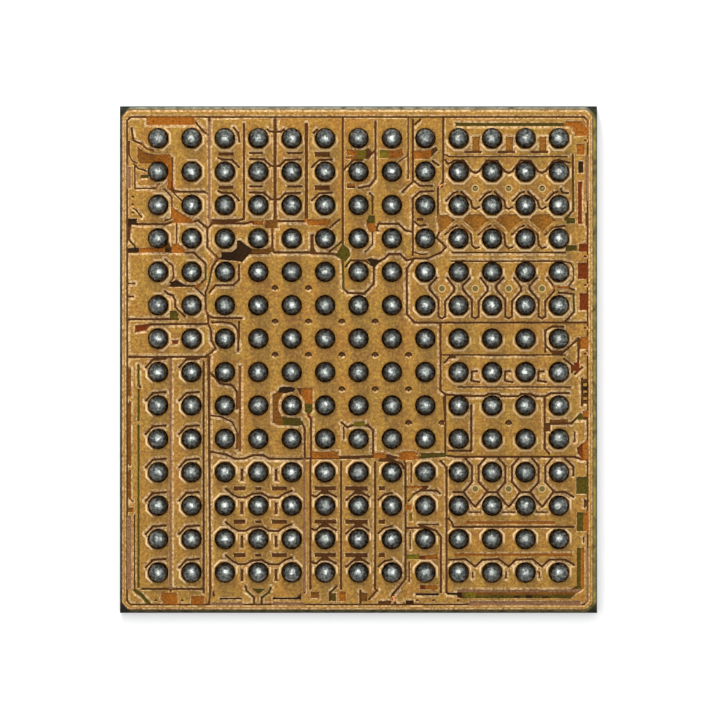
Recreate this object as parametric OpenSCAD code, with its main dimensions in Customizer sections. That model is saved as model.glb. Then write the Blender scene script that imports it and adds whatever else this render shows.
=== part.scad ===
// Wafer-level ball grid array chip, lying on its back with the solder balls up.
// Units are millimetres. The origin is the middle of the back face, +Z points to the balls,
// +X runs along the ball columns 1 to 13 and +Y from ball row P up to ball row A.

/* [Ball array] */
// Distance between the centres of neighbouring balls
pitch = 0.4; // [0.37:0.005:0.42]
// Diameter of a solder ball
ball_d = 0.25; // [0.23:0.005:0.27]
// Diameter of the face on which a ball is soldered
ball_seat_d = 0.216; // [0.19:0.002:0.22]
// Diameter of the under-bump pad where it lies on the film
pad_flange_d = 0.232; // [0.224:0.002:0.24]
// Diameter of the film opening that the pad fills
pad_opening_d = 0.2; // [0.16:0.005:0.21]
// Height of the pad's flange above the film
pad_flange_t = 0.003; // [0.002:0.0005:0.006]

/* [Die] */
// Distance from the outer ball columns to the side edges of the die
side_margin = 0.46; // [0.44:0.01:0.6]
// Distance from the first ball row to the upper edge of the die
top_margin = 0.386; // [0.38:0.002:0.5]
// Distance from the last ball row to the lower edge of the die
bottom_margin = 0.488; // [0.47:0.002:0.6]
// Thickness of the ground silicon
silicon_t = 0.3; // [0.2:0.01:0.4]
// Thickness of the black coating on the back
coating_t = 0.025; // [0.015:0.005:0.04]
// Width of the ledge that the laser leaves along the upper edge of the silicon
ledge_w = 0.01; // [0.004:0.002:0.016]
// Depth of that ledge
ledge_t = 0.012; // [0.006:0.002:0.03]

/* [Layers] */
// Thickness of the wiring levels on the silicon
wiring_t = 0.008; // [0.004:0.001:0.012]
// Thickness of the passivation over the wiring
passivation_t = 0.002; // [0.001:0.0005:0.003]
// Thickness of the lower dielectric film
lower_film_t = 0.0075; // [0.005:0.0005:0.012]
// Thickness of the plated redistribution copper
copper_t = 0.01; // [0.006:0.001:0.014]
// Thickness of the upper dielectric film on the copper
cover_t = 0.012; // [0.006:0.001:0.016]
// Thickness of the film on the side walls of the copper
cover_side = 0.005; // [0.003:0.001:0.008]

/* [Edges] */
// Width of the bare lane between the die edge and the films
lane_w = 0.036; // [0.03:0.002:0.05]
// How far the films sit to the left of the middle of the die
lane_shift = 0.013; // [0:0.001:0.016]
// Length of the 45 degree cut on each corner of the films
corner_cut = 0.08; // [0.04:0.01:0.12]
// Distance from the film edge to the copper guard ring
guard_inset = 0.01; // [0.008:0.001:0.016]
// Width of the copper guard ring
guard_w = 0.04; // [0.03:0.002:0.05]
// How much wider the guard ring is along the upper edge
guard_top = 0.03; // [0:0.005:0.035]
// Gap between the guard ring and the copper inside it
guard_gap = 0.028; // [0.02:0.002:0.036]
// Width of the seal ring in the wiring levels
seal_w = 0.01; // [0.006:0.001:0.014]
// Distance from the side of the wiring levels to the seal ring
seal_inset = 0.012; // [0.008:0.001:0.018]

/* [Copper pattern] */
// Width of an ordinary gap between two pieces of copper
groove_w = 0.032; // [0.026:0.001:0.036]
// Width of a fine gap
fine_w = 0.024; // [0.02:0.001:0.028]
// Width of the slanting gap in the lower left corner
corner_gap_w = 0.05; // [0.04:0.002:0.056]
// Narrowest copper that the etch leaves standing
least_copper = 0.012; // [0.008:0.001:0.014]
// Narrowest gap that the etch opens
least_gap = 0.008; // [0.006:0.001:0.01]
// Diameter of a via plug between the copper and the die
via_d = 0.07; // [0.05:0.005:0.08]
// Diameter of the dimple in the film over a via in the core plane
dimple_d = 0.085; // [0.075:0.005:0.1]
// Diameter of the dimple in the film over a small via
small_dimple_d = 0.036; // [0.03:0.002:0.044]
// Depth of a dimple
dimple_t = 0.005; // [0.003:0.001:0.005]
// Diameter of the contact pad under a via plug
contact_d = 0.09; // [0.082:0.002:0.11]

/* [Hidden] */
$fn = 48;
seat_sides = 12;
hair = least_copper / 8;
columns = 13;
rows = 14;

array_w = (columns - 1) * pitch;
array_h = (rows - 1) * pitch;
die_w = array_w + 2 * side_margin;
die_h = array_h + top_margin + bottom_margin;
array_y = (bottom_margin - top_margin) / 2;

z_silicon = coating_t;
z_wiring = z_silicon + silicon_t;
z_passivation = z_wiring + wiring_t;
z_lower_film = z_passivation + passivation_t;
z_copper = z_lower_film + lower_film_t;
z_cover = z_copper + copper_t;
z_flange = z_cover + cover_t;
z_ball = z_flange + pad_flange_t;

// How many steps of the pattern's grid lie between the outer balls and each edge of the die
side_steps = 1.15;
top_steps = 0.965;
bottom_steps = 1.22;

// The pattern's grid is the ball grid inside the array, and shares out the margins beyond it
function along(t, last, before, after) =
    t < 1 ? pitch + (t - 1) * before : t > last ? last * pitch + (t - last) * after : t * pitch;

// A place given in ball columns and rows, where [1, 1] is the first ball and [13, 14] the last
function at(p) = [
    along(p[0], columns, side_margin / side_steps, side_margin / side_steps) - (columns + 1) / 2 * pitch,
    (rows + 1) / 2 * pitch + array_y
        - along(p[1], rows, top_margin / top_steps, bottom_margin / bottom_steps)
];

// ---- The film outline and the guard ring ----

module film_outline(inset) {
    half_w = die_w / 2 - lane_w - inset;
    half_h = die_h / 2 - lane_w - inset;
    cut = corner_cut - inset * (2 - sqrt(2));
    translate([-lane_shift, 0])
        polygon([
            [-half_w, half_h - cut], [-half_w + cut, half_h],
            [half_w - cut, half_h], [half_w, half_h - cut],
            [half_w, -half_h + cut], [half_w - cut, -half_h],
            [-half_w + cut, -half_h], [-half_w, -half_h + cut]
        ]);
}

module inside_guard(inset) {
    intersection() {
        film_outline(guard_inset + guard_w + inset);
        translate([0, -guard_top]) film_outline(guard_inset + guard_w + inset);
    }
}

module guard_band(wider) {
    difference() {
        film_outline(guard_inset - wider);
        inside_guard(wider);
    }
}

// ---- How a gap in the copper is drawn ----

module knee(p, w) translate(at(p)) rotate(22.5) circle(d = w / cos(22.5), $fn = 8);

module run(a, b, w) {
    from = at(a);
    way = at(b) - from;
    translate(from) rotate(atan2(way[1], way[0])) translate([0, -w / 2]) square([norm(way), w]);
}

// A gap of even width along a path of columns and rows
module groove(path, w = groove_w) {
    for (p = path) knee(p, w);
    for (i = [1 : len(path) - 1]) run(path[i - 1], path[i], w);
}

module fine(path) groove(path, fine_w);

// A wide gap with the given corners
module window(corners) polygon([for (p = corners) at(p)]);

module box(left, top, right, bottom)
    window([[left, top], [right, top], [right, bottom], [left, bottom]]);

// ---- The streets that part the copper into fields ----

west_street = [
    [2.53, 0.2], [2.53, 3.42], [2.62, 3.55], [2.47, 3.7], [2.47, 4.27], [2.8, 4.6],
    [2.62, 4.85], [2.52, 5.35], [2.42, 5.62], [2.42, 6.12]
];
west_foot = [
    [2.42, 6.12], [2.5, 6.38], [2.5, 6.56], [2.59, 6.78], [2.59, 7.06], [2.72, 7.3], [2.42, 7.55],
    [0, 7.55]
];
plane_top = [
    [2.8, 4.6], [3.3, 4.6], [3.5, 4.68], [3.72, 4.44], [4.29, 4.44], [4.42, 4.34], [4.47, 4.42],
    [5.52, 4.42], [5.58, 4.44], [6.27, 4.46]
];
middle_street = [[6.53, 0.2], [6.53, 4.2]];
middle_foot = [
    [6.27, 4.46], [6.53, 4.62], [6.55, 5.5], [6.68, 5.63], [7.17, 5.65], [7.46, 5.36], [7.46, 4.85],
    [7.62, 4.68], [7.78, 4.6], [7.92, 4.46], [8.24, 4.46], [8.45, 4.66], [8.66, 4.6]
];
east_street = [
    [9.54, 0.2], [9.54, 2.3], [9.38, 2.5], [9.38, 3.3], [9.45, 3.75], [9.34, 3.98], [9.62, 4.26],
    [9.48, 4.42], [9.05, 4.6], [8.66, 4.6], [8.45, 4.9], [8.45, 6.27], [8.68, 6.52], [14, 6.52]
];
south_street = [
    [9.46, 6.52], [9.46, 8.55], [9.6, 8.68], [9.6, 10.5], [9.9, 10.54], [13.48, 10.54], [13.68, 10.62],
    [14, 10.62]
];
core_foot = [
    [2.53, 7.55], [2.53, 10.38], [3.06, 10.48], [3.3, 10.6], [3.57, 10.6], [3.85, 10.49], [4.14, 10.49],
    [4.34, 10.6], [5.3, 10.6], [7.9, 10.5], [8.36, 10.62], [9.6, 10.5]
];
south_west_street = [[2.5, 7.5], [2.53, 10.38], [2.56, 14.6], [2.5, 15.1]];
south_east_street = [[8.36, 10.62], [8.41, 10.8], [8.41, 14.2], [8.19, 14.48], [8.02, 14.66], [8.15, 15.1]];

module streets() {
    for (street = [
        west_street, west_foot, plane_top, middle_street, middle_foot, east_street, south_street,
        core_foot, south_west_street, south_east_street
    ]) groove(street);
}

// ---- The gaps inside each field, in columns and rows ----

module west_gaps() {
    box(0.64, 0.34, 2.1, 0.6);
    groove([[2.1, 0.5], [2.36, 0.8], [2.5, 0.9]]);
    // Round the three joined pads in the corner
    groove([[0.2, 0.7], [0.25, 1.06], [0.5, 1.17], [0.66, 1.32], [0.85, 1.36]]);
    window([[0.37, 1.22], [0.6, 1.42], [0.9, 1.47], [1.38, 1.48], [1.38, 2.45], [1.28, 2.45],
        [1.28, 1.78], [0.45, 1.76], [0.37, 1.6]]);
    groove([[1.41, 1.6], [1.41, 2.5], [1.54, 2.6], [2.36, 2.6], [2.5, 2.66]]);
    fine([[0.13, 1.1], [0.13, 1.5], [0.22, 1.68], [0.38, 1.74]]);
    box(0.07, 1.85, 0.18, 2.5);
    fine([[0.27, 1.78], [0.4, 1.9], [0.64, 1.98]]);
    fine([[0.3, 1.85], [0.3, 2.5]]);
    box(0.47, 2.09, 0.72, 2.2);
    fine([[0.3, 2.5], [0.9, 2.5], [1.04, 2.36]]);
    // The bar from the second ball to the third row
    fine([[1.28, 2.45], [1.7, 2.87], [1.86, 2.93]]);
    fine([[1.18, 2.52], [1.41, 2.76], [1.41, 3.4], [1.2, 3.46]]);
    fine([[0.2, 3.06], [0.34, 3.16], [0.5, 3.36]]);
    box(0.12, 3.4, 0.37, 3.6);
    groove([[0.37, 3.57], [1.2, 3.57], [1.46, 3.5]]);
    window([[1.46, 3.07], [1.7, 3.25], [2.03, 3.42], [2.03, 3.54], [1.46, 3.54]]);
    groove([[2.03, 3.5], [2.2, 3.46], [2.36, 3.6], [2.47, 3.7]]);
    fine([[1.55, 3.54], [1.55, 4.15]]);
    // Round the first pad of the fourth and fifth rows
    groove([[0.16, 3.6], [0.12, 4.02], [0.3, 4.25]]);
    window([[0.12, 4.28], [1.0, 4.26], [1.3, 4.1], [1.38, 4.24], [1.34, 4.42], [0.12, 4.44]]);
    window([[1.41, 4.15], [1.6, 4.15], [1.8, 4.32], [1.8, 4.44], [1.34, 4.44]]);
    groove([[1.8, 4.42], [2.06, 4.42], [2.42, 4.76], [2.42, 5.2], [2.18, 5.44]]);
    fine([[1.2, 4.62], [1.44, 4.84], [1.46, 5.18], [1.34, 5.32]]);
    window([[1.4, 5.28], [1.56, 5.22], [1.79, 5.38], [2.18, 5.38], [2.18, 5.46], [1.3, 5.46]]);
    fine([[0.05, 5.35], [0.3, 5.35]]);
    fine([[2.1, 5.46], [2.42, 5.76]]);
    groove([[1.2, 5.58], [1.29, 5.66], [1.44, 5.71], [1.51, 5.86], [1.51, 6.06], [1.79, 6.33]]);
    window([[1.34, 6.16], [1.54, 6.16], [1.62, 6.28], [1.58, 6.4], [1.34, 6.4]]);
    groove([[0.07, 6.44], [0.2, 6.42], [1.6, 6.42]]);
    fine([[0.05, 5.74], [0.25, 5.74]]);
    groove([[0.75, 6.57], [2.5, 6.56]]);
    window([[0.3, 6.6], [0.66, 6.56], [0.82, 6.56], [0.64, 6.76], [0.3, 6.82]]);
    box(1.41, 7.04, 1.59, 7.17);
}

module north_gaps() {
    // Round the pad above the first row, then the scallops of the lower rows
    groove([[3.26, 0.68], [3.4, 0.84], [3.43, 1.1]]);
    for (r = [2, 3]) {
        groove([[2.8, r - 0.42], [2.9, r - 0.37], [3.21, r - 0.36], [3.42, r - 0.14]]);
        groove([[3.75, r - 0.38], [4.17, r - 0.37], [4.37, r - 0.18], [4.44, r - 0.17]]);
        groove([[4.58, r - 0.17], [4.64, r - 0.18], [4.81, r - 0.35], [5.25, r - 0.37]]);
        groove([[5.6, r - 0.14], [5.82, r - 0.35], [6.2, r - 0.37]]);
    }
    for (r = [1, 2]) {
        window([[2.8, r + 0.41], [3.26, r + 0.41], [3.26, r + 0.52], [2.8, r + 0.52]]);
        groove([[3.75, r + 0.44], [4.1, r + 0.44]]);
        groove([[4.9, r + 0.44], [5.3, r + 0.44]]);
        box(5.68, r + 0.4, 6.15, r + 0.56);
        box(6.65, r + 0.34, 6.9, r + 0.5);
    }
    groove([[3.57, 0.58], [3.57, 3.42], [3.45, 3.45], [2.62, 3.46]]);
    groove([[4.5, 0.45], [4.5, 3.44]], 0.044);
    groove([[4.27, 0.73], [4.34, 0.8], [4.44, 0.8]]);
    groove([[4.56, 0.8], [4.69, 0.8], [4.77, 0.73]]);
    groove([[5.44, 0.58], [5.44, 3.44]], 0.044);
    groove([[5.66, 0.84], [5.76, 0.74]]);
    groove([[2.62, 3.55], [3.6, 3.55], [3.8, 3.5]]);
    window([[3.74, 3.46], [4.15, 3.46], [4.15, 3.6], [3.84, 3.6]]);
    box(4.2, 3.44, 4.58, 3.7);
    groove([[4.58, 3.48], [5.38, 3.48]]);
    window([[5.38, 3.42], [6.2, 3.42], [6.1, 3.62], [5.5, 3.62]]);
    groove([[4.42, 3.7], [4.42, 4.34]]);
    window([[3.72, 4.28], [4.1, 4.32], [4.42, 4.24], [4.42, 4.42], [3.72, 4.42]]);
    window([[3.35, 4.05], [3.45, 4.05], [3.77, 4.28], [3.77, 4.44], [3.5, 4.7], [2.88, 4.64], [2.88, 4.4],
        [3.2, 4.4], [3.35, 4.28]]);
    window([[5.55, 3.86], [5.66, 3.86], [5.66, 4.2], [5.74, 4.42], [5.55, 4.42]]);
    groove([[6.13, 4.4], [6.5, 4.1]]);
    groove([[6.15, 3.66], [6.42, 3.44]]);
}

module middle_gaps() {
    groove([[7.51, 0.5], [7.51, 1.35], [7.27, 1.58], [6.65, 1.58]]);
    window([[6.65, 1.33], [7.1, 1.36], [7.3, 1.28], [7.4, 1.4], [7.24, 1.56], [6.65, 1.5]]);
    groove([[7.51, 1.35], [7.51, 2.2], [7.34, 2.42], [7.0, 2.48]]);
    groove([[6.56, 1.94], [6.85, 1.65], [7.1, 1.64]]);
    groove([[7.34, 2.64], [7.42, 2.74], [7.42, 3.25]]);
    window([[7.3, 3.3], [7.5, 3.3], [7.5, 3.6], [7.64, 3.8], [7.3, 3.8], [7.22, 3.56]]);
    window([[7.63, 1.33], [8.1, 1.36], [8.3, 1.28], [8.36, 1.48], [8.18, 1.6], [7.63, 1.6]]);
    groove([[8.63, 0.45], [8.63, 2.3], [8.32, 2.6]]);
    fine([[8.49, 0.4], [8.49, 1.5], [8.2, 1.7]]);
    fine([[8.49, 1.5], [8.49, 2.2]]);
    window([[8.69, 1.36], [9.1, 1.36], [9.32, 1.24], [9.4, 1.34], [9.12, 1.62], [8.69, 1.62]]);
    groove([[9.22, 1.68], [9.4, 1.8]]);
    groove([[8.7, 0.57], [8.85, 0.44]]);
    groove([[8.66, 2.28], [8.84, 2.42], [9.2, 2.42]]);
    groove([[8.63, 4.5], [8.63, 2.8], [8.84, 2.6], [9.23, 2.58]]);
    groove([[8.68, 3.5], [8.83, 3.62], [9.0, 3.6]]);
    box(8.74, 3.37, 8.96, 3.48);
    groove([[7.52, 3.76], [7.6, 3.56], [8.2, 3.56], [8.4, 3.76], [8.6, 3.8]]);
    fine([[7.2, 4.4], [7.42, 4.18], [7.42, 3.8]]);
    window([[6.53, 4.15], [6.73, 4.33], [6.77, 4.52], [6.62, 4.7], [6.48, 4.63], [6.32, 4.46]]);
    groove([[6.62, 4.84], [6.76, 4.66], [7.2, 4.66], [7.4, 4.8]]);
    window([[7.24, 4.6], [7.4, 4.58], [7.66, 4.66], [7.5, 4.86], [7.4, 4.84]]);
    fine([[8.7, 4.42], [8.86, 4.48], [9.05, 4.46]]);
}

module north_east_gaps() {
    // The bus and the hooks under the first row
    box(9.9, 0.53, 13.2, 0.64);
    window([
        [13.2, 0.48], [13.66, 0.48], [13.86, 0.7], [13.86, 0.93], [13.5, 0.93], [13.4, 0.66],
        [13.2, 0.64]
    ]);
    fine([[9.54, 1.5], [9.66, 1.5], [9.7, 1.55], [13.25, 1.55]]);
    for (c = [10, 11, 12]) {
        box(c + 0.41, 0.95, c + 0.63, 1.36);
        groove([[c + 0.2, 1.41], [c + 0.66, 1.41]]);
        // The scallop over the second row
        groove([[c - 0.12, 1.66], [c + 0.15, 1.67], [c + 0.37, 1.98], [c + 0.5, 2.04], [c + 0.62, 1.98],
            [c + 0.85, 1.67]]);
        // The ears between the second and the fourth row
        groove([[c - 0.37, 2.87], [c - 0.15, 2.64], [c - 0.04, 2.6]]);
        groove([[c + 0.08, 2.6], [c + 0.37, 2.88], [c + 0.41, 3.07], [c + 0.5, 3.12], [c + 0.61, 3.06]]);
        window([[c + 0.1, 3.45], [c + 0.3, 3.27], [c + 0.7, 3.26], [c + 0.93, 3.45], [c + 0.66, 3.66],
            [c + 0.5, 3.84], [c + 0.37, 3.66]]);
        groove([[c - 0.4, 3.88], [c - 0.17, 3.67], [c - 0.04, 3.61]]);
        groove([[c + 0.08, 3.61], [c + 0.37, 3.88], [c + 0.4, 4.2], [c + 0.5, 4.3], [c + 0.61, 4.26]]);
    }
    groove([[9.6, 1.65], [9.68, 1.76], [9.78, 1.73], [9.88, 1.66]]);
    groove([[12.85, 1.67], [13.0, 1.65], [13.32, 1.73]]);
    groove([[12.63, 2.87], [12.85, 2.64], [12.96, 2.6]]);
    groove([[12.6, 3.88], [12.83, 3.67], [13.18, 3.62]]);
    window([[9.36, 3.3], [9.68, 3.28], [9.9, 3.45], [9.7, 3.62], [9.5, 3.82], [9.4, 3.72]]);
    groove([[13.06, 2.51], [13.1, 2.62], [13.28, 2.64]]);
    // The slots and windows along the right edge
    box(13.53, 1.16, 13.78, 1.5);
    box(13.58, 1.68, 13.74, 2.04);
    box(13.8, 1.5, 13.87, 2.85);
    groove([[13.42, 1.5], [13.44, 3.15], [13.2, 3.42]]);
    box(13.57, 2.29, 13.7, 3.57);
    box(13.22, 3.38, 13.5, 3.56);
    fine([[13.82, 3.25], [13.82, 3.6]]);
    box(13.2, 4.2, 13.55, 4.38);
    box(13.6, 4.15, 13.84, 4.4);
    fine([[9.8, 4.42], [13.2, 4.42]]);
    fine([[9.8, 4.68], [13.1, 4.68], [13.36, 4.74], [13.44, 4.9], [13.44, 5.24], [13.28, 5.44]]);
    // The stems between the fifth and the sixth row
    for (c = [9, 10, 11, 12]) {
        groove([[c + 0.34, 5.18], [c + 0.12, 5.42], [c + 0.13, 5.53], [c + 0.4, 5.84], [c + 0.4, 6.34],
            [c + 0.5, 6.4], [c + 0.6, 6.34], [c + 0.6, 5.88], [c + 0.87, 5.57], [c + 0.87, 5.46],
            [c + 0.66, 5.18]]);
    }
    box(13.57, 4.72, 13.84, 5.22);
    groove([[13.0, 5.46], [13.28, 5.47], [13.46, 5.54]]);
    groove([[13.0, 5.62], [13.23, 5.64], [13.44, 5.66], [13.46, 6.2], [13.2, 6.48]]);
    box(13.62, 5.63, 13.84, 6.15);
}

module core_gaps() {
    groove([[2.53, 5.62], [2.72, 5.4], [3.25, 5.4], [3.42, 5.24], [3.42, 4.8]]);
    groove([[2.5, 6.3], [2.62, 6.38], [3.5, 6.39]]);
    groove([[2.62, 6.52], [2.9, 6.5], [3.16, 6.53], [3.3, 6.62], [3.4, 6.8], [3.4, 7.36]]);
    box(3.38, 6.46, 3.46, 7.0);
    groove([[2.5, 8.0], [2.62, 8.08], [2.86, 8.34], [3.22, 8.4], [3.36, 8.6], [3.36, 9.1]]);
    fine([[2.53, 9.3], [2.9, 9.34], [3.22, 9.5], [3.36, 9.8], [3.36, 10.3]]);
    box(3.4, 7.8, 3.49, 10.4);
    // Round the lone pad in the ninth row
    window([[4.64, 8.46], [4.74, 8.43], [5.0, 8.43], [5.12, 8.5], [5.06, 8.6], [4.74, 8.66], [4.62, 8.86],
        [4.6, 9.1], [4.7, 9.34], [5.26, 9.38], [5.34, 9.58], [5.2, 9.62], [4.6, 9.6], [4.42, 9.52],
        [4.42, 8.66], [4.56, 8.6]]);
    window([[5.14, 8.47], [5.63, 8.47], [5.63, 9.18], [5.5, 9.3], [5.38, 9.18], [5.38, 8.86], [5.22, 8.66]]);
    groove([[5.3, 9.5], [5.39, 9.7], [5.39, 10.6]]);
    groove([[5.5, 9.3], [5.58, 9.42], [5.58, 10.6]]);
    // Round the pad in the tenth row
    groove([[6.5, 9.52], [6.66, 9.66], [6.8, 9.6], [7.28, 9.6], [7.44, 9.75], [7.44, 10.44]]);
    box(6.87, 9.48, 7.2, 9.6);
    fine([[6.56, 9.66], [6.56, 10.0]]);
    groove([[5.58, 10.58], [7.0, 10.58]]);
    box(5.62, 10.38, 6.4, 10.56);
    box(7.47, 10.42, 7.8, 10.56);
    window([[8.17, 10.44], [8.36, 10.36], [8.66, 10.36], [8.8, 10.44], [8.64, 10.64], [8.3, 10.64]]);
    box(8.86, 10.42, 9.6, 10.56);
}

module east_gaps() {
    groove([[12.6, 7.4], [12.6, 6.76], [12.8, 6.64], [13.14, 6.64]]);
    groove([[12.6, 7.2], [12.78, 7.39], [13.14, 7.4], [13.6, 7.0]]);
    box(13.65, 6.94, 13.84, 7.32);
    groove([[13.59, 7.0], [13.59, 7.8]]);
    fine([[9.46, 7.49], [13.2, 7.49]]);
    box(10.9, 7.46, 11.2, 7.53);
    box(12.0, 7.46, 12.25, 7.53);
    groove([[9.58, 7.72], [9.7, 7.58], [9.9, 7.56]]);
    for (c = [10, 11, 12]) {
        groove([[c + 0.55, 7.98], [c + 0.4, 7.98], [c + 0.38, 8.26], [c + 0.62, 8.3]]);
    }
    groove([[13.16, 7.6], [13.4, 7.8], [13.4, 8.0]]);
    fine([[9.98, 8.45], [13.35, 8.45]]);
    groove([[9.6, 8.68], [10.35, 8.72], [10.77, 8.72], [10.9, 8.65], [11.17, 8.65], [11.29, 8.73],
        [11.77, 8.73], [11.89, 8.66], [12.17, 8.66], [12.29, 8.73], [12.6, 8.73], [12.76, 8.64],
        [13.3, 8.63]]);
    groove([[10.38, 9.0], [10.38, 10.36], [9.7, 10.36]]);
    groove([[12.58, 8.8], [12.58, 10.3], [12.72, 10.45]]);
    box(12.72, 9.42, 13.28, 9.5);
    groove([[12.62, 9.56], [13.38, 9.54], [13.66, 9.26]]);
    box(12.63, 9.62, 12.76, 9.79);
    // The tab over the right edge
    fine([[13.48, 9.82], [13.48, 10.08]]);
    window([[13.84, 10.06], [13.84, 10.6], [13.7, 10.6], [13.56, 10.44], [13.54, 10.28], [13.68, 10.14]]);
    box(13.45, 7.72, 13.63, 7.98);
    groove([[13.48, 8.06], [13.7, 7.86]]);
    groove([[13.7, 8.2], [13.7, 9.0]]);
    for (v = [8.2, 8.42, 8.62, 8.82]) box(13.76, v, 13.85, v + 0.14);
    window([[13.72, 9.16], [13.85, 9.16], [13.85, 9.44], [13.56, 9.44], [13.56, 9.36], [13.72, 9.24]]);
}

module south_west_gaps() {
    groove([[1.37, 7.6], [1.37, 14.6]]);
    for (r = [8 : 14]) {
        for (c = [1, 2]) {
            groove([[c - 0.37, r - 0.14], [c - 0.16, r - 0.37], [c + 0.22, r - 0.4]]);
        }
    }
    groove([[2.36, 7.7], [2.36, 14.6]]);
    box(0.12, 7.9, 0.19, 8.75);
    groove([[0.41, 7.8], [0.41, 8.4], [0.46, 8.46]]);
    groove([[0.41, 8.54], [0.41, 9.45]]);
    groove([[0.41, 9.6], [0.41, 14.45]]);
    fine([[0.16, 8.9], [0.16, 10.8]]);
    fine([[0.16, 10.95], [0.16, 11.8], [0.24, 11.88]]);
    box(0.13, 12.06, 0.27, 12.2);
    fine([[0.29, 12.3], [0.29, 14.45]]);
    box(0.1, 12.3, 0.19, 14.5);
    groove([[0.52, 14.5], [1.37, 14.5]]);
    groove([[1.37, 14.5], [2.36, 14.5]]);
    groove([[0.3, 14.54], [0.5, 14.69], [0.72, 14.94]], corner_gap_w);
    window([[1.12, 14.6], [1.55, 14.6], [1.6, 14.94], [1.18, 14.94], [1.06, 14.8]]);
    window([[2.0, 14.7], [2.38, 14.7], [2.38, 14.94], [1.96, 14.94]]);
}

module south_gaps() {
    for (r = [12, 13, 14]) {
        groove([[3.03, r - 0.5], [3.22, r - 0.34], [3.4, r - 0.24], [3.62, r - 0.24], [3.82, r - 0.35],
            [4.11, r - 0.37], [4.32, r - 0.24], [4.61, r - 0.23], [4.78, r - 0.36], [5.0, r - 0.44]]);
        groove([[5.58, r - 0.32], [5.66, r - 0.27], [5.74, r - 0.27], [5.86, r - 0.38], [6.12, r - 0.38],
            [6.33, r - 0.26]]);
        groove([[6.63, r - 0.16], [6.87, r - 0.37], [7.12, r - 0.37], [7.31, r - 0.26]]);
        groove([[7.6, r - 0.17], [7.77, r - 0.33], [8.0, r - 0.38]]);
    }
    for (r = [11, 12, 13]) {
        box(3.25, r + 0.42, 3.62, r + 0.56);
        box(3.9, r + 0.44, 4.1, r + 0.54);
        box(4.4, r + 0.42, 4.86, r + 0.56);
        box(5.68, r + 0.42, 6.33, r + 0.55);
        box(6.6, r + 0.42, 7.28, r + 0.56);
        box(7.6, r + 0.42, 7.8, r + 0.56);
    }
    for (r = [11 : 14]) {
        box(3.46, r - 0.1, 3.56, r + 0.27);
        box(4.48, r - 0.1, 4.58, r + 0.27);
    }
    groove([[5.38, 10.6], [5.38, 14.6]]);
    groove([[5.56, 10.6], [5.56, 14.5]]);
    groove([[6.48, 10.7], [6.48, 14.5]]);
    groove([[7.5, 10.7], [7.5, 14.5]]);
    groove([[7.62, 10.66], [8.09, 10.66], [8.29, 10.76], [8.36, 10.9]]);
    window([[3.78, 14.48], [4.24, 14.48], [4.01, 14.66]]);
    groove([[3.62, 14.42], [3.65, 14.56], [3.87, 14.76], [3.87, 14.9]]);
    groove([[4.37, 14.46], [4.32, 14.6], [4.1, 14.76], [4.1, 14.9]]);
    box(2.83, 14.76, 3.52, 14.82);
    window([[4.42, 14.75], [5.14, 14.75], [5.3, 14.59], [5.3, 14.82], [4.42, 14.82]]);
    box(2.6, 14.9, 3.52, 14.97);
    box(4.42, 14.9, 5.36, 14.97);
    box(2.62, 14.56, 2.7, 14.74);
    box(5.56, 14.58, 5.83, 14.78);
    box(6.2, 14.62, 6.33, 14.87);
    box(6.42, 14.58, 6.63, 14.88);
    groove([[6.35, 14.42], [6.14, 14.62], [6.14, 14.84]]);
    groove([[7.06, 14.56], [7.06, 14.9]]);
    box(7.12, 14.6, 7.27, 14.88);
    groove([[7.32, 14.8], [7.56, 14.54]]);
    groove([[7.62, 14.9], [7.97, 14.88]]);
}

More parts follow.
